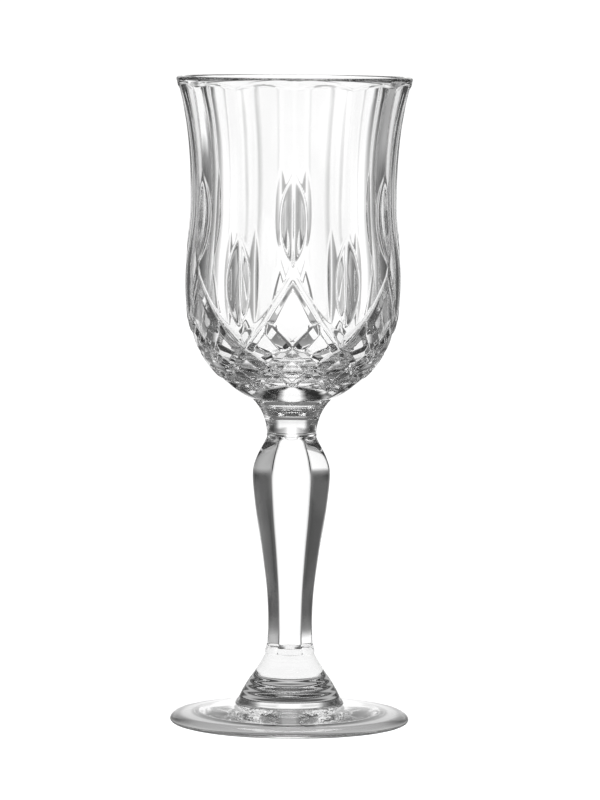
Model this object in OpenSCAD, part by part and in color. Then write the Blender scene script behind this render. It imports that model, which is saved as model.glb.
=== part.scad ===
// Cordial glass: a fluted and mitre-cut bowl on a six-sided stem with a round foot.
// Millimetres, +Z up. The origin is on the table, at the middle of the foot.
// Angles round the bowl are counted from the front (-Y) towards +X.

/* [Foot] */
// Width of the foot
foot_d = 50.6; // [46:0.1:56]
// Height of the foot where the collar sits on it
foot_h = 4.1; // [3.4:0.1:5]
// Thickness of the foot just inside its rounded edge
foot_edge_h = 2.25; // [1.8:0.05:2.6]
// Width of that rounded edge, from its top to where the foot is widest
foot_edge_w = 2.1; // [1.5:0.1:2.6]
// Height at which the foot is widest
foot_low_h = 0.75; // [0.5:0.05:1]
// Outer width of the flat ring that stands on the table
ring_d = 47.8; // [43:0.1:48.4]
// Width of that flat ring from its outer to its inner edge
ring_w = 4; // [3:0.1:7]
// Width of the soft step inside the ring
step_w = 1.1; // [0.8:0.1:1.6]
// Height of that soft step
step_h = 0.65; // [0.4:0.05:0.8]
// Depth of the hollow under the foot, at its middle
hollow_h = 1.5; // [1:0.05:1.8]

/* [Foot collar] */
// Height of the flared collar between foot and stem
flare_h = 10.9; // [9:0.1:13]
// Width of the collar where it meets the foot
flare_d = 23; // [20:0.1:26]
// Width of the collar where it meets the stem
flare_top_d = 10.3; // [9.6:0.1:11.2]

/* [Stem] */
// Length of the faceted stem
stem_h = 46.2; // [40:0.1:54]
// Width over the edges at the stem's shoulder
shoulder_d = 16.3; // [14:0.1:18]
// Width over the edges where the stem is thinnest
stem_waist_d = 9.3; // [8.6:0.1:10]
// Number of flat sides
stem_sides = 6; // [6:2:8]

/* [Neck collar] */
// Height of the waisted collar between stem and bowl
neck_h = 7.8; // [6.5:0.1:9]
// Width of the weld between stem and neck
weld_d = 10.4; // [9.6:0.1:11.2]
// Width of the crease where the neck meets the bowl
crease_d = 16.9; // [16:0.1:20]

/* [Bowl] */
// Height of the bowl from the crease to the lip
bowl_h = 68; // [64:0.5:74]
// Width over the lip
rim_d = 49.9; // [47:0.1:54]
// Width over the ridges at the bowl's waist
waist_d = 43.6; // [42:0.1:45.4]
// Height of the waist above the crease
waist_z = 41.5; // [38:0.5:45]
// Width over the rounded lower part of the bowl
bulge_d = 46.3; // [44:0.1:48]
// Height of the widest part of that bulge above the crease
bulge_z = 25; // [23:0.1:26]
// Glass between the inside and the ridges
wall = 2.7; // [2.5:0.1:3]
// Glass between the inside and the crease
floor_h = 4.9; // [4.4:0.1:6]
// Thickness of the wall at the lip
lip_wall = 1.8; // [1.6:0.1:2.2]
// Radius of the rounded lip, inside and outside
lip_r = 0.8; // [0.4:0.05:0.8]

/* [Flutes] */
// Number of flutes round the bowl, always an even one
flute_count = 12; // [10:2:14]
// Depth of a flute below the ridges beside it
flute_depth = 0.5; // [0.3:0.05:0.9]
// Share of half a flute over which the ridge beside it is rounded
ridge_round = 0.2; // [0.1:0.05:0.4]
// Height of the plain band above the top of a flute
band_h = 1.2; // [1:0.1:2]
// How far the plain band stands out past the ridges
band_step = 0.25; // [0.1:0.05:0.35]
// How much lower the arched top of a flute is at the ridges
arch_h = 0.9; // [0.5:0.1:2]
// Height in which a flute comes to its full depth
runout_h = 1; // [0.8:0.1:4]

/* [Olive cuts] */
// Length of an olive cut
olive_l = 18.2; // [14:0.1:19]
// Width of an olive cut at its middle
olive_w = 5; // [4:0.1:5.6]
// Depth of an olive cut at its middle, below the ridge
olive_depth = 1.25; // [0.8:0.05:1.5]
// Angle between the two flanks of an olive cut where they meet in its bed
olive_angle = 157; // [145:1:170]
// How much further the flanks have curved up at the edges of the cut
olive_curl = 0.5; // [0.2:0.05:0.8]
// Height of the middle of the upper olive cuts above the crease
upper_olive_z = 38.4; // [37:0.1:40]
// Height of the middle of the lower olive cuts above the crease
lower_olive_z = 25.7; // [24.5:0.1:27]

/* [Mitre cuts] */
// Height of the lattice's topmost crossings above the crease
apex_z = 26.8; // [25.2:0.1:28]
// Depth of the wide grooves that cross over the bulge
wide_depth = 0.7; // [0.5:0.05:1]
// Slope of a wide groove's flank above its flat bed
wide_upper_slope = 18; // [14:1:30]
// Slope of a wide groove's flank below its flat bed
wide_lower_slope = 38; // [28:1:42]
// Depth of the narrow grooves between them
narrow_depth = 0.75; // [0.5:0.05:1]
// Slope of a narrow groove's flank above its bed
narrow_upper_slope = 32; // [24:1:40]
// Slope of a narrow groove's flank below its bed
narrow_lower_slope = 18; // [14:1:30]
// Height of the scalloped step under the lattice
scallop_h = 0.5; // [0.3:0.05:0.7]

/* [Hidden] */

glass_rgba = [0.80, 0.88, 0.92, 0.6];
round_fn = 96;

// Heights at which the pieces are fused
flare_z = foot_h;
stem_z = flare_z + flare_h;
neck_z = stem_z + stem_h;
bowl_z = neck_z + neck_h;

// Foot: points along each curve of its outline, and how much of its top is curved
edge_steps = 6;
slope_steps = 8;
slope_ease_share = 0.35;

// Overlap of a cutter past the piece that it cuts
overrun = 1;

// Collar outline: shares of its height, then of its flare from top to bottom width
flare_shares = [[0, 1], [0.14, 0.87], [0.26, 0.77], [0.37, 0.66], [0.49, 0.53],
                [0.61, 0.38], [0.73, 0.25], [0.84, 0.14], [0.93, 0.05], [1, 0]];

// Stem outline: shares of its height, then of the way from its waist to its shoulder
taper_shares = [[0, 0.17], [0.05, 0.05], [0.11, 0], [0.19, 0.01], [0.29, 0.09],
                [0.40, 0.27], [0.51, 0.485], [0.62, 0.73], [0.72, 0.90], [0.80, 1],
                [0.837, 0.995], [0.864, 0.94], [0.892, 0.815], [0.919, 0.66],
                [0.947, 0.47], [0.974, 0.28]];
// Share of the stem's height in which its facets end, and how much of its edges is rounded
facet_end_share = 0.02;
edge_round_share = 0.985;
stem_cols = stem_sides * 6;
stem_rows = 30;

// Bowl: how square its rounded underside is, and how late its wall flares to the lip
under_power = 2.15;
flare_power = 2.4;
bulge_r = bulge_d / 2;
waist_r = waist_d / 2;
rim_r = rim_d / 2;
under_reach = bulge_z / pow(1 - pow(crease_d / bulge_d, under_power), 1 / under_power);

// Mitre lattice: heights of its rows from the apexes down, as shares of their height
row_shares = [1, 0.664, 0.4366, 0.2873, 0.1343, 0];
last_row = 4;
wide_rows = 2;
apex_gap = 4;
apex_depth_share = 0.35;
run_up_rows = 0.9;
// Half the width of a wide groove's bed, in pitches, and the rows in which it runs out
bed_share = 0.1;
bed_end_row = 2.2;
bed_runout_rows = 0.4;
// How much higher the step runs between two scallops, and the rows in which it runs out
scallop_rows = 0.5;
step_runout_rows = 0.8;
half_pitch = 180 / flute_count;
col_split = 4;
cols = 2 * flute_count * col_split;
row_table = concat([[-1, (2 - row_shares[1]) * apex_z]],
                   [for (t = [0:len(row_shares) - 1]) [t, row_shares[t] * apex_z]]);
row_keys = [for (k = [len(row_table) - 1:-1:0]) [row_table[k][1], row_table[k][0]]];

// Heights of the rows of points on the bowl, from the crease to the lip
olive_rows = 13;
wall_rows = 4;
arch_rows = 5;
lip_rows = 3;
olive_top = upper_olive_z + olive_l / 2;
arch_foot = bowl_h - band_h - arch_h - runout_h;
lip_z = bowl_h - lip_r;
bowl_rows = concat(
    [for (k = [2:-1:1]) row_z(last_row + k / 2)],
    [for (k = [last_row * col_split:-1:0]) row_z(k / col_split)],
    steps(apex_z, olive_top, olive_rows),
    steps(olive_top, arch_foot, wall_rows),
    steps(arch_foot, lip_z, arch_rows),
    [for (k = [1:lip_rows]) lip_z + lip_r * sin(90 * k / lip_rows)]);

// Heights between two others, without the first
function steps(from, to, count) = [for (k = [1:count]) from + (to - from) * k / count];

function clamp01(x) = max(0, min(1, x));
function ease(x) = let (c = clamp01(x)) c * c * (3 - 2 * c);
function nearest(x, pitch) = abs(x - pitch * round(x / pitch));

// A smooth curve through a table of [key, value] pairs
function slope_at(table, k) =
    k == 0 || k == len(table) - 1 ? 0 :
    (table[k + 1][1] - table[k - 1][1]) / (table[k + 1][0] - table[k - 1][0]);
function span_of(table, x, k = 0) =
    k >= len(table) - 2 || x < table[k + 1][0] ? k : span_of(table, x, k + 1);
function curve(table, x) =
    let (k = span_of(table, x),
         w = table[k + 1][0] - table[k][0],
         s = clamp01((x - table[k][0]) / w))
    table[k][1] * (1 + 2 * s) * (1 - s) * (1 - s)
    + slope_at(table, k) * w * s * (1 - s) * (1 - s)
    + table[k + 1][1] * s * s * (3 - 2 * s)
    + slope_at(table, k + 1) * w * s * s * (s - 1);

// The turned shape of the bowl

// Superellipse of the underside, between the crease and the bulge
function under_r(z) =
    bulge_r * pow(1 - pow((bulge_z - z) / under_reach, under_power), 1 / under_power);

// Wall above the bulge, drawn in to the waist and flared to the lip
function wall_r(z, bulge, waist, rim) =
    z < waist_z
    ? waist + (bulge - waist) * (1 + cos(180 * (z - bulge_z) / (waist_z - bulge_z))) / 2
    : waist + (rim - waist) * pow((z - waist_z) / (lip_z - waist_z), flare_power);

// How far the rounded lip has drawn in at a height
function lip_in(z) = z < lip_z ? 0 : lip_r - sqrt(max(0, lip_r * lip_r - pow(z - lip_z, 2)));

function outer_r(z) =
    z < bulge_z ? under_r(z) : wall_r(z, bulge_r, waist_r, rim_r) - lip_in(z);

// The cut pattern, as depths below the turned shape

function row_z(t) = lookup(t, row_table);
function row_at(z) = lookup(z, row_keys);

// Half pitches from the nearest apex, which the wide grooves leave downwards
function apex_steps(a) = nearest(a, apex_gap * half_pitch) / half_pitch;

// Concave flutes between rounded ridges, ending in arches under the plain band
function flute_cut(a, z) =
    let (p = 1 - nearest(a, 2 * half_pitch) / half_pitch,
         straight = 1 - ridge_round,
         rise = p * p - pow(max(0, p - straight), 2) / ridge_round,
         arch = bowl_h - band_h - arch_h * p * p,
         below_lip = clamp01((z - waist_z) / (bowl_h - waist_z)))
    row_at(z) > apex_steps(a) ? 0 :
    (flute_depth * (1 - rise / straight) + band_step * below_lip) * ease((arch - z) / runout_h);

// Olive cuts on the ridges, high and low ones in turn: two curved flanks that meet in a
// bed, itself curved like the wheel that would grind it
function olive_cut(a, z) =
    let (ridge = round(a / (2 * half_pitch)),
         mid = ridge % 2 == 0 ? upper_olive_z : lower_olive_z,
         half = olive_l / 2,
         low_r = outer_r(mid - half),
         high_r = outer_r(mid + half),
         sag = (low_r + high_r) / 2 - outer_r(mid) + olive_depth,
         along = (z - mid) / half,
         bed = (low_r + high_r) / 2 + (high_r - low_r) / 2 * along - sag * (1 - along * along),
         side = outer_r(z) * nearest(a, 2 * half_pitch) * PI / 180)
    abs(along) > 1 ? 0 :
    outer_r(z) - bed - side / tan(olive_angle / 2) - olive_curl * pow(2 * side / olive_w, 2);

// Distance between neighbouring diagonals of the lattice
function row_pitch(t) =
    let (across = outer_r(row_z(t)) * half_pitch * PI / 180,
         up = norm([row_z(t - 1 / 2) - row_z(t + 1 / 2),
                    outer_r(row_z(t - 1 / 2)) - outer_r(row_z(t + 1 / 2))]))
    across * up / norm([across, up]);

// Depth of a groove at so many pitches above its bed's middle, or below where negative
function groove(above, pitch, depth, bed, slopes) =
    depth - max(0, abs(above) - bed) * pitch * tan(above > 0 ? slopes[0] : slopes[1]);

// Half pitches past the nearest of the diagonals that start at the apexes
function past(x) = x - apex_gap * round(x / apex_gap);

// Grooves along the diagonals: wide ones from the apexes, narrow ones between them
function mitre_cut(a, z) =
    let (t = row_at(z),
         step = a / half_pitch,
         pitch = row_pitch(max(0, t)),
         lead = apex_depth_share + (1 - apex_depth_share) * clamp01(t),
         bed = bed_share * clamp01((bed_end_row - t) / bed_runout_rows),
         narrow_slopes = [narrow_upper_slope, narrow_lower_slope],
         slopes = t < wide_rows ? [wide_upper_slope, wide_lower_slope] : narrow_slopes,
         rising = past(step - t),
         falling = -past(step + t),
         over = max(abs(rising), abs(falling)),
         wide = t < 0 ? groove(over, pitch, wide_depth * lead, bed, slopes)
             : max(groove(rising, pitch, wide_depth * lead, bed, slopes),
                   groove(falling, pitch, wide_depth * lead, bed, slopes)),
         midway = apex_gap / 2,
         narrow = max(groove(past(step - t - midway), pitch, narrow_depth, 0, narrow_slopes),
                      groove(-past(step + t - midway), pitch, narrow_depth, 0, narrow_slopes)))
    t < -run_up_rows ? 0 :
    t > last_row - scallop_rows * nearest(step, 2)
        ? scallop_h * clamp01((last_row + 1 - t) / step_runout_rows) :
    t < apex_steps(a) ? wide : max(wide, narrow);

function cut_r(a, z) =
    outer_r(z) - max(0, flute_cut(a, z), olive_cut(a, z), mitre_cut(a, z));

// Rings of points on the bowl, and faces between them. Each four-sided patch is split
// along the diagonal that lies nearer to the true surface, so grooves keep sharp beds.
function col_angle(c) = 360 * c / cols;
function ring_point(a, r, z) = [r * sin(a), -r * cos(a), z];

module cut_body() {
    rows = len(bowl_rows);
    radii = [for (z = bowl_rows) [for (c = [0:cols - 1]) cut_r(col_angle(c), z)]];
    points = [for (i = [0:rows - 1]) for (c = [0:cols - 1])
        ring_point(col_angle(c), radii[i][c], bowl_rows[i])];
    sides = [for (i = [0:rows - 2]) for (c = [0:cols - 1])
        let (n = (c + 1) % cols,
             mid = cut_r(col_angle(c + 1 / 2), (bowl_rows[i] + bowl_rows[i + 1]) / 2),
             rising = abs((radii[i][c] + radii[i + 1][n]) / 2 - mid),
             falling = abs((radii[i + 1][c] + radii[i][n]) / 2 - mid),
             low = i * cols,
             top = low + cols)
        each rising < falling
            ? [[low + c, top + c, top + n], [low + c, top + n, low + n]]
            : [[low + c, top + c, low + n], [top + c, top + n, low + n]]];
    caps = [[for (c = [0:cols - 1]) c],
            [for (c = [cols - 1:-1:0]) (rows - 1) * cols + c]];
    polyhedron(points = points, faces = concat(sides, caps), convexity = 6);
}

// The inside of the cup, turned, with the inner half of the rounded lip
cup_steps = 14;
cup_bulge_r = bulge_r - wall;
cup_reach = bulge_z - floor_h;
function cup_under(a) =
    [cup_bulge_r * pow(sin(a), 2 / under_power),
     bulge_z - cup_reach * pow(cos(a), 2 / under_power)];
function cup_wall(z) =
    [wall_r(z, cup_bulge_r, waist_r - wall, rim_r - lip_wall) + lip_in(z), z];

module cup_hollow() {
    floor_points = [for (k = [0:cup_steps]) cup_under(90 * k / cup_steps)];
    wall_points = [for (z = steps(bulge_z, lip_z, cup_steps)) cup_wall(z)];
    lip_points = [for (k = [1:lip_rows]) cup_wall(lip_z + lip_r * sin(90 * k / lip_rows))];
    mouth = cup_wall(bowl_h)[0];
    rotate_extrude($fn = round_fn)
        polygon(concat(floor_points, wall_points, lip_points,
                       [[mouth, bowl_h + overrun], [0, bowl_h + overrun]]));
}

module bowl() {
    color(glass_rgba)
        translate([0, 0, bowl_z])
            difference() {
                cut_body();
                cup_hollow();
            }
}

// Neck: a round cove, turned, whose radius joins the weld to the crease
module neck_collar() {
    spread = (crease_d - weld_d) / 2;
    cove_r = (neck_h * neck_h + spread * spread) / (2 * spread);
    color(glass_rgba)
        translate([0, 0, neck_z])
            rotate_extrude($fn = round_fn)
                difference() {
                    square([crease_d / 2, neck_h]);
                    translate([weld_d / 2 + cove_r, 0])
                        circle(cove_r, $fn = 2 * round_fn);
                }
}

// Stem: rounded hexagons lofted along its taper, with a flat side to the front
function stem_r(s) =
    let (waist = stem_waist_d / 2)
    curve(concat([for (p = taper_shares)
                      [p[0], waist + p[1] * (shoulder_d / 2 - waist)]],
                 [[1, weld_d / 2]]), s);
function stem_section_r(a, s) =
    let (r = stem_r(s),
         flat = r / edge_round_share * cos(180 / stem_sides) / cos(nearest(a, 360 / stem_sides)),
         side = min(flat, r),
         into_round = ease(min(s, 1 - s) / facet_end_share))
    s == 1 ? r : r + (side - r) * into_round;

module stem() {
    points = [for (i = [0:stem_rows]) for (c = [0:stem_cols - 1])
        let (s = i / stem_rows, a = 360 * c / stem_cols)
        ring_point(a, stem_section_r(a, s), s * stem_h)];
    sides = [for (i = [0:stem_rows - 1]) for (c = [0:stem_cols - 1])
        let (n = (c + 1) % stem_cols, low = i * stem_cols, top = low + stem_cols)
        each [[low + c, top + c, top + n], [low + c, top + n, low + n]]];
    caps = [[for (c = [0:stem_cols - 1]) c],
            [for (c = [stem_cols - 1:-1:0]) stem_rows * stem_cols + c]];
    color(glass_rgba)
        translate([0, 0, stem_z])
            polyhedron(points = points, faces = concat(sides, caps), convexity = 4);
}

// Foot collar: turned, hollow above and full below
module foot_collar() {
    flare_table = [for (p = flare_shares)
        [p[0], flare_top_d / 2 + p[1] * (flare_d - flare_top_d) / 2]];
    outline = [for (s = [0:1 / 24:1]) [curve(flare_table, s), s * flare_h]];
    color(glass_rgba)
        translate([0, 0, flare_z])
            rotate_extrude($fn = round_fn)
                polygon(concat(outline, [[0, flare_h], [0, 0]]));
}

// Foot: a turned disc with a sloping top and a rounded edge, standing on a flat ring that
// a soft step joins to the shallow hollow inside it
module foot() {
    flare_r = flare_d / 2;
    foot_r = foot_d / 2;
    ring_r = ring_d / 2;
    top_r = foot_r - foot_edge_w;
    step_r = ring_r - ring_w;
    hollow_r = step_r - step_w;
    fall = foot_h - foot_edge_h;
    slope_points = [for (k = [0:slope_steps])
        let (s = k / slope_steps)
        [flare_r + (top_r - flare_r) * s,
         foot_h - fall * (slope_ease_share * ease(s) + (1 - slope_ease_share) * s)]];
    edge_points = [for (k = [1:edge_steps])
        let (turn = 90 * k / edge_steps)
        [top_r + foot_edge_w * sin(turn),
         foot_low_h + (foot_edge_h - foot_low_h) * cos(turn)]];
    low_points = [for (k = [1:edge_steps])
        let (turn = 90 * k / edge_steps)
        [foot_r - (foot_r - ring_r) * (1 - cos(turn)), foot_low_h * (1 - sin(turn))]];
    step_points = [for (k = [0:edge_steps])
        let (s = k / edge_steps)
        [step_r - step_w * s, step_h * ease(s)]];
    hollow_points = [for (k = [1:slope_steps])
        let (s = 1 - k / slope_steps)
        [hollow_r * s, step_h + (hollow_h - step_h) * (1 - s * s)]];
    color(glass_rgba)
        rotate_extrude($fn = round_fn)
            polygon(concat([[0, foot_h]], slope_points, edge_points, low_points,
                           step_points, hollow_points));
}

foot();
foot_collar();
stem();
neck_collar();
bowl();
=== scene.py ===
# Cordial glass: a fluted, mitre-cut bowl on a six-sided stem with a round foot.
# Everything is in metres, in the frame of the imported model, with -Y as the front.
import math

import bmesh
import bpy
from mathutils import Matrix, Vector, noise


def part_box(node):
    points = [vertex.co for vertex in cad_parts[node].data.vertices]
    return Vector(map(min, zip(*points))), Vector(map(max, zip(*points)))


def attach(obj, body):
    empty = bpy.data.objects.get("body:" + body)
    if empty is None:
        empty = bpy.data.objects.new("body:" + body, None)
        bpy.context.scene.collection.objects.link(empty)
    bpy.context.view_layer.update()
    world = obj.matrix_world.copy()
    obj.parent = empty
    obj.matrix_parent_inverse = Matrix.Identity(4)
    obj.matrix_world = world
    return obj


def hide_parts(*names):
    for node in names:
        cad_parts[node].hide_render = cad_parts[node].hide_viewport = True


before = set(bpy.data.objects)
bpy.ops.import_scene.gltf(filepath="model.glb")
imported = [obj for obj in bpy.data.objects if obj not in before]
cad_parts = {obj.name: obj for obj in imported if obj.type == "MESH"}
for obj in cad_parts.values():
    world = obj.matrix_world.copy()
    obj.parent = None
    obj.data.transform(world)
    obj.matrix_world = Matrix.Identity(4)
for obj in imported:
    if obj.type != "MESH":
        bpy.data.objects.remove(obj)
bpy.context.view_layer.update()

mm = 0.001
scene = bpy.context.scene

# What each CAD node measures: heights of its ends and its largest radius
def nodeSpan(name):
    low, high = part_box(name)
    return low.z, high.z, high.x

footLow, footTop, footRadius = nodeSpan("foot")
flareLow, flareTop, flareRadius = nodeSpan("foot_collar")
stemLow, stemTop, stemRadius = nodeSpan("stem")
neckLow, neckTop, creaseRadius = nodeSpan("neck_collar")
bowlLow, bowlTop, rimRadius = nodeSpan("bowl")


# Small helpers

def clamp01(x):
    return max(0.0, min(1.0, x))


def ease(x):
    x = clamp01(x)
    return x * x * (3 - 2 * x)


def nearest(x, pitch):
    return abs(x - pitch * round(x / pitch))


# Smooth curve through a list of (key, value) pairs
def curveThrough(pairs, x):
    k = 0
    while k < len(pairs) - 2 and x >= pairs[k + 1][0]:
        k += 1
    (x0, y0), (x1, y1) = pairs[k], pairs[k + 1]
    width = x1 - x0

    def slopeAt(i):
        if i in (0, len(pairs) - 1):
            return 0
        return (pairs[i + 1][1] - pairs[i - 1][1]) / (pairs[i + 1][0] - pairs[i - 1][0])

    s = clamp01((x - x0) / width)
    return (y0 * (1 + 2 * s) * (1 - s) ** 2 + slopeAt(k) * width * s * (1 - s) ** 2
            + y1 * s * s * (3 - 2 * s) + slopeAt(k + 1) * width * s * s * (s - 1))


def straightThrough(pairs, x):
    for (x0, y0), (x1, y1) in zip(pairs, pairs[1:]):
        if x <= x1:
            break
    return y0 + (y1 - y0) * (x - x0) / (x1 - x0)


# One sixth of a turned shape, from a profile of (radius, height) points
def turnSixth(bm, profile, columns):
    corners = [bm.verts.new((0, -r, z)) for r, z in profile]
    edges = [bm.edges.new(pair) for pair in zip(corners, corners[1:])]
    bmesh.ops.spin(bm, geom=corners + edges, cent=(0, 0, 0), axis=(0, 0, 1),
                   angle=math.tau / 6, steps=columns // 6)


# The sixth is copied round the axis and merged into the whole
def closeRound(bm):
    sixth = bm.verts[:] + bm.edges[:] + bm.faces[:]
    for k in range(1, 6):
        made = bmesh.ops.duplicate(bm, geom=sixth)["geom"]
        bmesh.ops.rotate(bm, cent=(0, 0, 0), matrix=Matrix.Rotation(math.tau * k / 6, 3, "Z"),
                         verts=[item for item in made if isinstance(item, bmesh.types.BMVert)])
    bmesh.ops.remove_doubles(bm, verts=bm.verts, dist=2e-6)


def turn(bm, profile, columns):
    turnSixth(bm, profile, columns)
    closeRound(bm)


# Each vertex goes to the radius that shape(angle, height) gives, on its exact column
def reshape(bm, columns, shape):
    step = 360 / columns
    for vert in bm.verts:
        if vert.co.to_2d().length > 1e-6:
            a = step * round(angleOf(vert.co) / step)
            r = shape(a, vert.co.z)
            vert.co.x = r * math.sin(math.radians(a))
            vert.co.y = -r * math.cos(math.radians(a))


# Angle from the front towards +X, in degrees
def angleOf(co):
    return math.degrees(math.atan2(co.x, -co.y))


# Finished piece: closed, normals outward, smooth with its sharp beds kept sharp
def finishPiece(bm, name, sharpAngle, materials, node):
    bmesh.ops.recalc_face_normals(bm, faces=bm.faces)
    for face in bm.faces:
        face.smooth = True
    for edge in bm.edges:
        edge.smooth = not (edge.is_manifold and edge.calc_face_angle() > math.radians(sharpAngle))
    mesh = bpy.data.meshes.new(name)
    bm.to_mesh(mesh)
    bm.free()
    piece = bpy.data.objects.new(name, mesh)
    scene.collection.objects.link(piece)
    for material in materials:
        mesh.materials.append(material)
    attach(piece, "root")
    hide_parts(node)
    print("piece", name, "faces", len(mesh.polygons))


# Faces at the fused ends of a piece get the seam material, so glass runs on through them
def markSeams(bm, heights):
    for face in bm.faces:
        if any(all(abs(v.co.z - z) < 1e-6 for v in face.verts) for z in heights):
            face.material_index = 1


# Materials

def newMaterial(name):
    material = bpy.data.materials.new(name)
    material.use_nodes = True
    material.node_tree.nodes.clear()
    return material, material.node_tree


def addNode(tree, kind, **settings):
    made = tree.nodes.new(kind)
    for key, value in settings.items():
        setattr(made, key, value)
    return made


def objectPoint(tree, scale):
    place = addNode(tree, "ShaderNodeTexCoord")
    mapping = addNode(tree, "ShaderNodeMapping")
    mapping.inputs["Scale"].default_value = scale
    tree.links.new(place.outputs["Object"], mapping.inputs["Vector"])
    return mapping.outputs["Vector"]


glassLook = {
    "refraction": 1.53,
    "roughness": 0.004,
    "waveScale": (90, 90, 30),  # the waves are drawn out up the glass
    "waveDetail": 2,
    "waveHeight": 0.6 * mm,
    "shadowColour": (0.93, 0.94, 0.94, 1),
}


# Clear pressed glass, with the faint waves of its fire-polished skin, and a light shadow
def clearGlass(name, wave):
    material, tree = newMaterial(name)
    links = tree.links
    output = addNode(tree, "ShaderNodeOutputMaterial")
    glass = addNode(tree, "ShaderNodeBsdfPrincipled")
    glass.inputs["Base Color"].default_value = (1, 1, 1, 1)
    glass.inputs["Transmission Weight"].default_value = 1
    glass.inputs["IOR"].default_value = glassLook["refraction"]
    glass.inputs["Roughness"].default_value = glassLook["roughness"]
    waves = addNode(tree, "ShaderNodeTexNoise")
    waves.inputs["Scale"].default_value = 1
    waves.inputs["Detail"].default_value = glassLook["waveDetail"]
    links.new(objectPoint(tree, glassLook["waveScale"]), waves.inputs["Vector"])
    bump = addNode(tree, "ShaderNodeBump")
    bump.inputs["Strength"].default_value = wave
    bump.inputs["Distance"].default_value = glassLook["waveHeight"]
    links.new(waves.outputs["Fac"], bump.inputs["Height"])
    links.new(bump.outputs["Normal"], glass.inputs["Normal"])
    path = addNode(tree, "ShaderNodeLightPath")
    clear = addNode(tree, "ShaderNodeBsdfTransparent")
    clear.inputs["Color"].default_value = glassLook["shadowColour"]
    mix = addNode(tree, "ShaderNodeMixShader")
    links.new(path.outputs["Is Shadow Ray"], mix.inputs["Fac"])
    links.new(glass.outputs[0], mix.inputs[1])
    links.new(clear.outputs[0], mix.inputs[2])
    links.new(mix.outputs[0], output.inputs["Surface"])
    return material


# Fused seam: the glass of two pieces is one melt there, so light passes straight on
def fusedSeam():
    material, tree = newMaterial("fusedSeam")
    output = addNode(tree, "ShaderNodeOutputMaterial")
    clear = addNode(tree, "ShaderNodeBsdfTransparent")
    tree.links.new(clear.outputs[0], output.inputs["Surface"])
    return material


seamMaterial = fusedSeam()


# Bowl

bowlCut = {
    "columns": 480,            # a multiple of 24, so groove beds lie on mesh lines
    "waistRadius": 21.8 * mm,
    "waistHeight": 41.5 * mm,  # heights count from the crease
    "bulgeRadius": 23.15 * mm,
    "bulgeHeight": 25.0 * mm,
    "underPower": 2.15,
    "insidePower": 3.3,        # the cup's floor is flatter than an ellipse
    "flarePower": 2.4,
    "lipRadius": 0.8 * mm,
    "lipWall": 1.8 * mm,
    "wall": 2.7 * mm,
    "floor": 4.4 * mm,
    "flutes": 12,
    "fluteDepth": 0.5 * mm,
    "ridgeRoundShare": 0.2,
    "bandHeight": 1.2 * mm,
    "bandStep": 0.25 * mm,
    "archHeight": 0.9 * mm,
    "runout": 0.6 * mm,
    "oliveLength": 18.2 * mm,
    "oliveDepth": 1.35 * mm,
    "oliveBed": 0.18 * mm,     # half the flat between the flanks
    "oliveTilt": 15,           # of the flanks where they leave it, in degrees
    "oliveCurl": 0.4 * mm,     # how much further they have curved up at the cut's half width
    "oliveHalfWidth": 2.5 * mm,
    "softEdge": 0.15 * mm,     # rounds the meeting of olives and flutes
    "oliveHeights": (38.4 * mm, 25.7 * mm),
    "wideDepth": 0.8 * mm,
    "wideBed": 0.1,            # half the flat of a wide cut's bed, in steps of the lattice
    "bedEndRow": 2.2,
    "bedRunoutRows": 0.4,
    "wideTilts": (26, 28),     # flanks above and below the bed, in degrees
    "narrowDepth": 0.85 * mm,
    "narrowTilts": (42, 22),
    "narrowFromRow": 2,        # the wide cuts take the narrow ones' tilts from here down
    "apexDepthShare": 0.35,
    "apexRunoutRow": -0.9,     # where the cuts have run out above their apexes
    "underStep": 0.5 * mm,
    "underRunoutRows": 0.8,
    "lastRow": 4,
    "scallopRows": 0.5,        # how much the last row rises between the apexes, by step
    "rowHeights": (26.8 * mm, 17.8 * mm, 11.7 * mm, 7.7 * mm, 3.6 * mm, 0),
    "oliveTops": 47.6 * mm,    # the mesh is finer below this, and again in the arches
    "archesFrom": 62.5 * mm,
}
bowlHeight = bowlTop - bowlLow
lipHeight = bowlHeight - bowlCut["lipRadius"]
halfPitch = 180 / bowlCut["flutes"]
underReach = bowlCut["bulgeHeight"] / (
    1 - (creaseRadius / bowlCut["bulgeRadius"]) ** bowlCut["underPower"]
) ** (1 / bowlCut["underPower"])
apexHeight = bowlCut["rowHeights"][0]
creaseRow = len(bowlCut["rowHeights"]) - 1
rowTable = [(-1, 2 * apexHeight - bowlCut["rowHeights"][1])] + list(enumerate(bowlCut["rowHeights"]))
rowKeys = [(z, t) for t, z in reversed(rowTable)]


def underRadius(z, bulge, reach):
    power = bowlCut["underPower"]
    return bulge * max(0, 1 - ((bowlCut["bulgeHeight"] - z) / reach) ** power) ** (1 / power)


def wallRadius(z, bulge, waist, rim):
    low, mid = bowlCut["bulgeHeight"], bowlCut["waistHeight"]
    if z < mid:
        return waist + (bulge - waist) * (1 + math.cos(math.pi * (z - low) / (mid - low))) / 2
    return waist + (rim - waist) * ((z - mid) / (lipHeight - mid)) ** bowlCut["flarePower"]


def lipIn(z):
    r = bowlCut["lipRadius"]
    return r - math.sqrt(max(0, r * r - max(0, z - lipHeight) ** 2))


def outerRadius(z):
    if z < bowlCut["bulgeHeight"]:
        return underRadius(z, bowlCut["bulgeRadius"], underReach)
    return wallRadius(z, bowlCut["bulgeRadius"], bowlCut["waistRadius"], rimRadius) - lipIn(z)


def rowHeight(t):
    return straightThrough(rowTable, t)


def rowAt(z):
    return straightThrough(rowKeys, z)


def apexSteps(a):
    return nearest(a, 4 * halfPitch) / halfPitch


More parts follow.
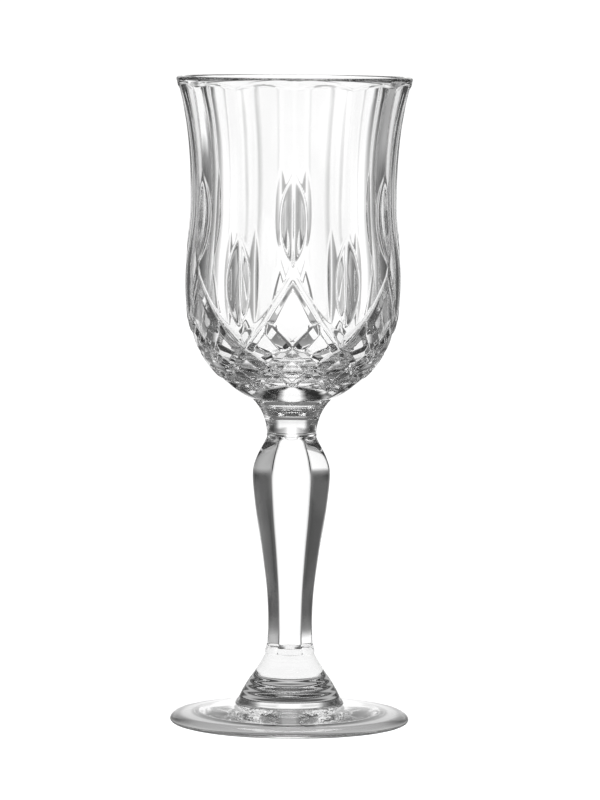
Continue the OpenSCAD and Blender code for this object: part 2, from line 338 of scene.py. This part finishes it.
# Concave flutes between ridges, ending in arches under the plain band
def fluteCut(a, z):
    if rowAt(z) > apexSteps(a):
        return 0
    p = 1 - nearest(a, 2 * halfPitch) / halfPitch
    arch = bowlHeight - bowlCut["bandHeight"] - bowlCut["archHeight"] * p ** 2
    belowLip = clamp01((z - bowlCut["waistHeight"]) / (bowlHeight - bowlCut["waistHeight"]))
    straight = 1 - bowlCut["ridgeRoundShare"]
    rise = p * p - max(0, p - straight) ** 2 / bowlCut["ridgeRoundShare"]
    depth = bowlCut["fluteDepth"] * (1 - rise / straight) + bowlCut["bandStep"] * belowLip
    return depth * ease((arch - z) / bowlCut["runout"])


# Olive cuts on the ridges, as depth below the turned shape
def oliveCut(a, z):
    ridge = round(a / (2 * halfPitch))
    mid = bowlCut["oliveHeights"][ridge % 2]
    half = bowlCut["oliveLength"] / 2
    if abs(z - mid) > half:
        return 0
    lowR, highR = outerRadius(mid - half), outerRadius(mid + half)
    chord = lowR + (highR - lowR) * (z - mid + half) / (2 * half)
    sag = (lowR + highR) / 2 - outerRadius(mid) + bowlCut["oliveDepth"]
    bed = chord - sag * (1 - ((z - mid) / half) ** 2)
    side = outerRadius(z) * math.radians(nearest(a, 2 * halfPitch))
    out = max(0, side - bowlCut["oliveBed"])
    flank = out * math.tan(math.radians(bowlCut["oliveTilt"]))
    return outerRadius(z) - bed - flank - bowlCut["oliveCurl"] * (out / bowlCut["oliveHalfWidth"]) ** 2


def rowPitch(t):
    across = outerRadius(rowHeight(t)) * math.radians(halfPitch)
    above, below = rowHeight(t - 0.5), rowHeight(min(t + 0.5, creaseRow))
    up = math.hypot(above - below, outerRadius(above) - outerRadius(below))
    return across * up / math.hypot(across, up)


# Depth of a groove at a signed distance from its bed, counted upwards in lattice steps
def groove(away, pitch, depth, bed, tilts):
    tilt = tilts[0] if away > 0 else tilts[1]
    return depth - max(0, abs(away) - bed) * pitch * math.tan(math.radians(tilt))


def overNearest(x):
    return x - 4 * round(x / 4)


# Grooves on the diagonals: wide ones from the apexes, narrow ones between them, and a smooth
# underside that lies deeper than the lattice and meets it in scallops
def mitreCut(a, z):
    t = rowAt(z)
    step = a / halfPitch
    if t < bowlCut["apexRunoutRow"]:
        return 0
    if t > bowlCut["lastRow"] - bowlCut["scallopRows"] * nearest(step, 2):
        return bowlCut["underStep"] * clamp01((creaseRow - t) / bowlCut["underRunoutRows"])
    pitch = rowPitch(clamp01(t / creaseRow) * creaseRow)
    rising, falling = overNearest(step - t), -overNearest(step + t)
    if t < 0:
        rising = falling = max(abs(rising), abs(falling))
    lead = bowlCut["apexDepthShare"] + (1 - bowlCut["apexDepthShare"]) * clamp01(t)
    bed = bowlCut["wideBed"] * clamp01((bowlCut["bedEndRow"] - t) / bowlCut["bedRunoutRows"])
    tilts = bowlCut["wideTilts"] if t < bowlCut["narrowFromRow"] else bowlCut["narrowTilts"]
    wide = max(groove(away, pitch, bowlCut["wideDepth"] * lead, bed, tilts)
               for away in (rising, falling))
    if t < apexSteps(a):
        return wide
    rising, falling = overNearest(step - t - 2), -overNearest(step + t - 2)
    narrow = max(groove(away, pitch, bowlCut["narrowDepth"], 0, bowlCut["narrowTilts"])
                 for away in (rising, falling))
    return max(wide, narrow)


def cutRadius(a, z):
    flute, olive = fluteCut(a, z), oliveCut(a, z)
    edge = bowlCut["softEdge"]
    rounding = edge / 4 * max(0, 1 - abs(flute - olive) / edge) ** 2
    return outerRadius(z) - max(0, max(flute, olive) + rounding, mitreCut(a, z))


def heightsBetween(low, high, count):
    return [low + (high - low) * k / count for k in range(1, count + 1)]


# Four-sided patches are split along the diagonal nearer to the true surface
def splitAlongBeds(bm):
    for face in list(bm.faces):
        if len(face.verts) != 4 or face.calc_center_median().z > apexHeight:
            continue
        a, b, c, d = face.verts
        centre = sum((v.co for v in face.verts), Vector()) / 4
        true = cutRadius(angleOf(centre), centre.z)
        firstOff = abs(((a.co + c.co) / 2).to_2d().length - true)
        secondOff = abs(((b.co + d.co) / 2).to_2d().length - true)
        pair = (a, c) if firstOff < secondOff else (b, d)
        bmesh.utils.face_split(face, *pair)


def makeBowl():
    cut = bowlCut
    perRow = cut["columns"] // 24
    bm = bmesh.new()
    # Outside: from the crease up to the lip
    lipHeights = [lipHeight + cut["lipRadius"] * math.sin(math.pi / 2 * k / 4) for k in range(1, 5)]
    heights = [rowHeight(creaseRow - k / 8) for k in range(4)]
    heights += [rowHeight(k / perRow) for k in range(int(4.5 * perRow), -1, -1)]
    heights += heightsBetween(apexHeight, cut["oliveTops"], 34)
    heights += heightsBetween(cut["oliveTops"], cut["archesFrom"], 14)
    heights += heightsBetween(cut["archesFrom"], lipHeight, 18)
    heights += lipHeights
    turnSixth(bm, [(0, 0)] + [(outerRadius(z), z) for z in heights], cut["columns"])
    reshape(bm, cut["columns"], cutRadius)
    splitAlongBeds(bm)
    # Inside: a turned hollow that meets the outside at the top of the lip
    bulge = cut["bulgeRadius"] - cut["wall"]
    reach = cut["bulgeHeight"] - cut["floor"]
    waist, rim = cut["waistRadius"] - cut["wall"], rimRadius - cut["lipWall"]
    power = 2 / cut["insidePower"]
    inner = []
    for k in range(21):
        a = math.pi / 2 * k / 20
        inner.append((bulge * math.sin(a) ** power,
                      cut["bulgeHeight"] - reach * max(0, math.cos(a)) ** power))
    for z in heightsBetween(cut["bulgeHeight"], lipHeight, 14) + lipHeights:
        inner.append((wallRadius(z, bulge, waist, rim) + lipIn(z), z))
    inner.append((outerRadius(bowlHeight), bowlHeight))
    turnSixth(bm, inner, cut["columns"])
    closeRound(bm)
    for vert in bm.verts:
        vert.co.z += bowlLow
    markSeams(bm, [bowlLow])
    finishPiece(bm, "cutBowl", 34,
                [clearGlass("bowlGlass", wave=0.12), seamMaterial], "bowl")


# Neck collar

neckTurn = {
    "weldRadius": 5.2 * mm,
    "ringHeights": (0.85, 1.65, 2.45, 3.25),  # below the crease, in millimetres
    "ringDepth": 0.05 * mm,
    "ringWidth": 0.3 * mm,
    "weldBead": 0.12 * mm,
    "beadWidth": 0.4 * mm,
    "rows": 96,
    "columns": 192,
}


def makeNeck():
    cut = neckTurn
    height = neckTop - neckLow
    spread = creaseRadius - cut["weldRadius"]
    cove = (height ** 2 + spread ** 2) / (2 * spread)
    profile = [(0, neckLow)]
    for k in range(cut["rows"] + 1):
        z = height * k / cut["rows"]
        r = cut["weldRadius"] + cove - math.sqrt(cove ** 2 - z ** 2)
        ends = ease(min(z, height - z) / (0.4 * mm))
        for ring in cut["ringHeights"]:
            off = (height - z - ring * mm) / cut["ringWidth"]
            r -= ends * cut["ringDepth"] * math.exp(-off * off)
        r += cut["weldBead"] * math.exp(-(z / cut["beadWidth"]) ** 2) * (z > 0)
        profile.append((r, neckLow + z))
    profile.append((0, neckTop))
    bm = bmesh.new()
    turn(bm, profile, cut["columns"])
    markSeams(bm, [neckLow, neckTop])
    finishPiece(bm, "neckCollar", 50,
                [clearGlass("neckGlass", wave=0.08), seamMaterial], "neck_collar")


# Stem

stemCut = {
    "sides": 6,
    "waistRadius": 4.65 * mm,
    "weldRadius": 5.2 * mm,
    "taperShares": ((0, 0.17), (0.05, 0.05), (0.11, 0), (0.19, 0.01), (0.29, 0.09), (0.40, 0.27),
                    (0.51, 0.485), (0.62, 0.73), (0.72, 0.90), (0.80, 1), (0.837, 0.995),
                    (0.864, 0.94), (0.892, 0.815), (0.919, 0.66), (0.947, 0.47), (0.974, 0.28)),
    "facetEndShare": 0.02,
    "edgeSharpness": 20,
    "rows": 150,
    "columns": 288,
}


def softMin(x, y):
    power = stemCut["edgeSharpness"]
    return (x ** -power + y ** -power) ** (-1 / power)


def stemProfile(s):
    cut = stemCut
    pairs = [(at, cut["waistRadius"] + share * (stemRadius - cut["waistRadius"]))
             for at, share in cut["taperShares"]] + [(1, cut["weldRadius"])]
    return curveThrough(pairs, s)


def makeStem():
    cut = stemCut
    height = stemTop - stemLow
    profile = [(0, stemLow)]
    for k in range(cut["rows"] + 1):
        profile.append((stemProfile(k / cut["rows"]), stemLow + height * k / cut["rows"]))
    profile.append((0, stemTop))
    bm = bmesh.new()
    turnSixth(bm, profile, cut["columns"])

    def facets(a, z):
        s = (z - stemLow) / height
        radius = stemProfile(s)
        step = nearest(a, 360 / cut["sides"])
        corner = math.cos(math.pi / cut["sides"])
        side = softMin(corner / math.cos(math.radians(step)), 1) / softMin(1, 1)
        into = ease(min(s, 1 - s) / cut["facetEndShare"])
        return radius * (1 + (side - 1) * into)

    reshape(bm, cut["columns"], facets)
    closeRound(bm)
    markSeams(bm, [stemLow, stemTop])
    finishPiece(bm, "facetedStem", 50,
                [clearGlass("stemGlass", wave=0.15), seamMaterial], "stem")


# Foot collar

flareTurn = {
    "topRadius": 5.15 * mm,
    "shares": ((0, 1), (0.14, 0.87), (0.26, 0.77), (0.37, 0.66), (0.49, 0.53),
               (0.61, 0.38), (0.73, 0.25), (0.84, 0.14), (0.93, 0.05), (1, 0)),
    "waveHeight": 0.02 * mm,
    "wavePitch": 1.15 * mm,
    "waveWander": 1.5,
    "wanderPitch": 2 * mm,
    "waveRunoutShare": 0.08,
    "rows": 120,
    "columns": 252,
}


def makeFlare():
    cut = flareTurn
    height = flareTop - flareLow
    spread = flareRadius - cut["topRadius"]
    pairs = [(at, cut["topRadius"] + share * spread) for at, share in cut["shares"]]
    profile = [(0, flareLow)]
    for k in range(cut["rows"] + 1):
        s = k / cut["rows"]
        z = s * height
        ends = ease(min(s, 1 - s) / cut["waveRunoutShare"])
        wander = cut["waveWander"] * noise.noise(Vector((0, 0, z / cut["wanderPitch"])))
        wave = (1 + math.sin(math.tau * z / cut["wavePitch"] + wander)) / 2
        profile.append((curveThrough(pairs, s) - ends * cut["waveHeight"] * wave, flareLow + z))
    profile.append((0, flareTop))
    bm = bmesh.new()
    turn(bm, profile, cut["columns"])
    markSeams(bm, [flareLow, flareTop])
    finishPiece(bm, "flaredCollar", 50,
                [clearGlass("collarGlass", wave=0.15), seamMaterial], "foot_collar")


# Foot

footTurn = {
    "widestHeight": 0.75 * mm,
    "edgeHeight": 2.25 * mm,
    "edgeInset": 2.1 * mm,
    "ringOuter": 23.9 * mm,
    "ringInner": 19.9 * mm,
    "stepWidth": 1.1 * mm,
    "stepHeight": 0.65 * mm,
    "hollow": 1.5 * mm,
    "slopeSoftness": 0.35,     # share of the slope that is curved
    "columns": 252,
}


def makeFoot():
    cut = footTurn
    # Outside, from the collar's seam down the slope, over the rounded edge to the ring it stands on
    profile = [(0, footTop)]
    edgeRadius = footRadius - cut["edgeInset"]
    soft = cut["slopeSoftness"]
    for k in range(25):
        s = k / 24
        down = soft * ease(s) + (1 - soft) * s
        profile.append((flareRadius + (edgeRadius - flareRadius) * s,
                        footTop + (cut["edgeHeight"] - footTop) * down))
    edgeRise = cut["edgeHeight"] - cut["widestHeight"]
    for k in range(1, 17):
        a = math.pi / 2 * k / 16
        profile.append((edgeRadius + cut["edgeInset"] * math.sin(a),
                        cut["widestHeight"] + edgeRise * math.cos(a)))
    for k in range(1, 13):
        a = math.pi / 2 * k / 12
        profile.append((footRadius - (footRadius - cut["ringOuter"]) * (1 - math.cos(a)),
                        cut["widestHeight"] * (1 - math.sin(a))))
    # Underneath, up the soft step of the ring and over the shallow dome to the middle
    for k in range(13):
        s = k / 12
        profile.append((cut["ringInner"] - cut["stepWidth"] * s, cut["stepHeight"] * ease(s)))
    domeRadius = cut["ringInner"] - cut["stepWidth"]
    domeRise = cut["hollow"] - cut["stepHeight"]
    for k in range(1, 25):
        r = domeRadius * (1 - k / 24)
        profile.append((r, cut["stepHeight"] + domeRise * (1 - (r / domeRadius) ** 2)))
    bm = bmesh.new()
    turn(bm, profile, cut["columns"])
    markSeams(bm, [footTop])
    finishPiece(bm, "roundFoot", 50,
                [clearGlass("footGlass", wave=0.15), seamMaterial], "foot")


makeBowl()
makeNeck()
makeStem()
makeFlare()
makeFoot()


# Studio

# The camera sees white. Only the glass sees a dim room with white panels in it, one behind
# the glass for each view, so that its edges draw dark as in the photograph. Each list pairs
# a place with a brightness there: degrees sideways from a panel's middle, degrees up from
# the horizon, or, under the foot, millimetres out from its middle.
studio = {
    "floorRadius": 0.45,
    "floorColour": (0.88, 0.88, 0.88, 1),
    "floorGlow": 0.4,
    # Painted light and shade on the floor under the foot, seen only through the glass: a painted pool
    # of light in the middle, then painted contact shade in dark and grey rings round where the foot
    # stands
    "paintedLightAndShadeUnderFoot": ((0, 1), (17.5, 1), (18.6, 0.05), (20, 0.08), (20.8, 0.5), (22.3, 0.4), (23.2, 0.05),
                  (24.2, 0.12), (25.2, 0.03), (36, 0.02)),
    "bright": 1.12,             # makes up for what the glass takes off by reflection
    "across": ((0, 1), (6, 1), (9, 0.75), (13, 0.52), (20, 0.34), (28, 0.16), (38, 0.05)),
    "acrossHigh": ((0, 1), (21, 0.95), (28, 0.25), (38, 0.02)),
    "acrossLow": ((0, 1), (6, 1), (9, 0.4), (12, 0.03), (24, 0.02), (32, 0.3), (42, 0.45),
                  (60, 0.3), (75, 0.03)),
    "lowBetween": (-14, -4),
    "upward": ((-78, 0.1), (-60, 0.6), (-48, 1), (9, 1), (22, 0.3), (30, 0)),
    "highUpward": ((2, 0), (9, 1), (20, 0.8), (27, 0.15), (60, 0)),
    "ceiling": ((4, 0), (18, 0.12), (40, 0.2), (55, 0.08)),
    "slopingAt": -45,
    "slopingAcross": ((0, 1), (10, 1), (20, 0)),
    "slopingUpward": ((-40, 0), (-34, 1), (-14, 1), (-8, 0)),
}


def mathNode(tree, operation, first, second=None):
    made = addNode(tree, "ShaderNodeMath", operation=operation)
    for socket, value in zip(made.inputs, (first, second)):
        if isinstance(value, (int, float)):
            socket.default_value = value
        elif value is not None:
            tree.links.new(value, socket)
    return made.outputs[0]


def smoothBetween(tree, value, low, high):
    made = addNode(tree, "ShaderNodeMapRange", interpolation_type="SMOOTHSTEP")
    made.inputs["From Min"].default_value = low
    made.inputs["From Max"].default_value = high
    tree.links.new(value, made.inputs["Value"])
    return made.outputs[0]


# Brightness that follows a list of levels
def levelsAlong(tree, angle, levels):
    low, high = levels[0][0], levels[-1][0]
    share = mathNode(tree, "DIVIDE", mathNode(tree, "SUBTRACT", angle, low), high - low)
    ramp = addNode(tree, "ShaderNodeValToRGB")
    stops = ramp.color_ramp.elements
    while len(stops) < len(levels):
        stops.new(1)
    for stop, (at, level) in zip(stops, levels):
        stop.position = (at - low) / (high - low)
        stop.color = (level, level, level, 1)
    tree.links.new(share, ramp.inputs["Fac"])
    return ramp.outputs["Color"]


# Degrees from the nearest of the directions that repeat round the glass
def degreesFrom(tree, azimuth, start, every):
    shifted = mathNode(tree, "ADD", azimuth, 360 - start + every / 2)
    turned = mathNode(tree, "SUBTRACT", mathNode(tree, "MODULO", shifted, every), every / 2)
    return mathNode(tree, "ABSOLUTE", turned)


def makeWorld():
    world = bpy.data.worlds.new("studio")
    scene.world = world
    world.use_nodes = True
    tree = world.node_tree
    tree.nodes.clear()
    links = tree.links
    output = addNode(tree, "ShaderNodeOutputWorld")
    background = addNode(tree, "ShaderNodeBackground")
    background.inputs["Color"].default_value = (1, 1, 1, 1)
    place = addNode(tree, "ShaderNodeTexCoord")
    split = addNode(tree, "ShaderNodeSeparateXYZ")
    links.new(place.outputs["Generated"], split.inputs[0])
    eastward = mathNode(tree, "ARCTAN2", split.outputs["X"], split.outputs["Y"])
    azimuth = mathNode(tree, "DEGREES", eastward)
    height = mathNode(tree, "DEGREES", mathNode(tree, "ARCSINE", split.outputs["Z"]))
    away = degreesFrom(tree, azimuth, 0, 90)
    behind = degreesFrom(tree, azimuth, 0, 360)
    aslant = degreesFrom(tree, azimuth, studio["slopingAt"], 180)

    def panel(angle, across, upward):
        return mathNode(tree, "MULTIPLY", levelsAlong(tree, angle, studio[across]),
                        levelsAlong(tree, height, studio[upward]))

    # The tall panels repeat every quarter turn, but only the one behind reaches down low
    above = smoothBetween(tree, height, *studio["lowBetween"])
    tall = mathNode(tree, "MULTIPLY", panel(away, "across", "upward"), above)
    below = mathNode(tree, "SUBTRACT", 1, above)
    low = mathNode(tree, "MULTIPLY", panel(behind, "acrossLow", "upward"), below)
    room = levelsAlong(tree, height, studio["ceiling"])
    for part in (mathNode(tree, "ADD", tall, low), panel(away, "acrossHigh", "highUpward"),
                 panel(aslant, "slopingAcross", "slopingUpward")):
        room = mathNode(tree, "MAXIMUM", room, part)
    path = addNode(tree, "ShaderNodeLightPath")
    lit = mathNode(tree, "MULTIPLY", room, studio["bright"])
    seen = mathNode(tree, "MAXIMUM", path.outputs["Is Camera Ray"], lit)
    links.new(seen, background.inputs["Strength"])
    links.new(background.outputs[0], output.inputs["Surface"])


# The floor takes the shadow. The camera sees it white. Through the glass it glows with painted light
# and
# shade: a painted pool of light, white under the foot, then painted contact shade, darker towards the
# foot's edge, and it gives way to the panels further out.
def makeFloor():
    bm = bmesh.new()
    bmesh.ops.create_circle(bm, cap_ends=True, segments=96, radius=studio["floorRadius"])
    mesh = bpy.data.meshes.new("floor")
    bm.to_mesh(mesh)
    bm.free()
    floor = bpy.data.objects.new("floor", mesh)
    scene.collection.objects.link(floor)
    material, tree = newMaterial("paleFloor")
    links = tree.links
    output = addNode(tree, "ShaderNodeOutputMaterial")
    matt = addNode(tree, "ShaderNodeBsdfDiffuse")
    matt.inputs["Color"].default_value = studio["floorColour"]
    glow = addNode(tree, "ShaderNodeEmission")
    mixed = addNode(tree, "ShaderNodeAddShader")
    links.new(matt.outputs[0], mixed.inputs[0])
    links.new(glow.outputs[0], mixed.inputs[1])
    glow.inputs["Strength"].default_value = studio["floorGlow"]
    place = addNode(tree, "ShaderNodeTexCoord")
    far = addNode(tree, "ShaderNodeVectorMath", operation="LENGTH")
    links.new(place.outputs["Object"], far.inputs[0])
    inward = mathNode(tree, "MULTIPLY", far.outputs["Value"], -1)
    clear = addNode(tree, "ShaderNodeBsdfTransparent")
    wide = addNode(tree, "ShaderNodeMixShader")
    fade = smoothBetween(tree, inward, -studio["floorRadius"], -studio["floorRadius"] * 0.4)
    links.new(fade, wide.inputs["Fac"])
    links.new(clear.outputs[0], wide.inputs[1])
    links.new(mixed.outputs[0], wide.inputs[2])
    # Glow that paints the light and contact shade under the foot, for rays through the glass
    paintedFootGlow = addNode(tree, "ShaderNodeEmission")
    out = mathNode(tree, "DIVIDE", far.outputs["Value"], mm)
    links.new(levelsAlong(tree, out, studio["paintedLightAndShadeUnderFoot"]), paintedFootGlow.inputs["Strength"])
    pad = addNode(tree, "ShaderNodeMixShader")
    outerEdge = studio["paintedLightAndShadeUnderFoot"][-1][0] * mm
    links.new(smoothBetween(tree, inward, -outerEdge, -outerEdge * 0.7), pad.inputs["Fac"])
    links.new(clear.outputs[0], pad.inputs[1])
    links.new(paintedFootGlow.outputs[0], pad.inputs[2])
    path = addNode(tree, "ShaderNodeLightPath")
    shown = addNode(tree, "ShaderNodeMixShader")
    links.new(path.outputs["Is Camera Ray"], shown.inputs["Fac"])
    links.new(pad.outputs[0], shown.inputs[1])
    links.new(wide.outputs[0], shown.inputs[2])
    links.new(shown.outputs[0], output.inputs["Surface"])
    mesh.materials.append(material)


def addSoftbox(name, place, target, size, watts):
    data = bpy.data.lights.new(name, "AREA")
    data.shape = "RECTANGLE"
    data.size, data.size_y = size
    data.energy = watts
    lamp = bpy.data.objects.new(name, data)
    lamp.location = place
    lamp.rotation_mode = "QUATERNION"
    lamp.rotation_quaternion = (Vector(target) - Vector(place)).to_track_quat("-Z", "Y")
    lamp.visible_camera = False
    lamp.visible_transmission = False
    scene.collection.objects.link(lamp)


makeWorld()
makeFloor()
print("studio made")
addSoftbox("overhead", (0, 0.1, 1.1), (0, 0, 0.05), (0.8, 0.8), 9)

shot = {
    "distance": 1.052,
    "height": 0.1554,
    "lens": 224.6,
    "aim": (0.0017, 0, 0.0687),
    "roll": 0.5,
}


def makeCamera():
    data = bpy.data.cameras.new("camera")
    data.lens = shot["lens"]
    data.sensor_width = 36
    camera = bpy.data.objects.new("camera", data)
    camera.location = (0, -shot["distance"], shot["height"])
    look = Vector(shot["aim"]) - camera.location
    camera.rotation_mode = "QUATERNION"
    toward = look.to_track_quat("-Z", "Y").to_matrix().to_4x4()
    roll = Matrix.Rotation(math.radians(shot["roll"]), 4, "Z")
    camera.rotation_quaternion = (toward @ roll).to_quaternion()
    scene.collection.objects.link(camera)
    scene.camera = camera


makeCamera()
scene.view_settings.view_transform = "Standard"
scene.cycles.max_bounces = 32
scene.cycles.transmission_bounces = 32
scene.cycles.glossy_bounces = 16
scene.cycles.transparent_max_bounces = 32
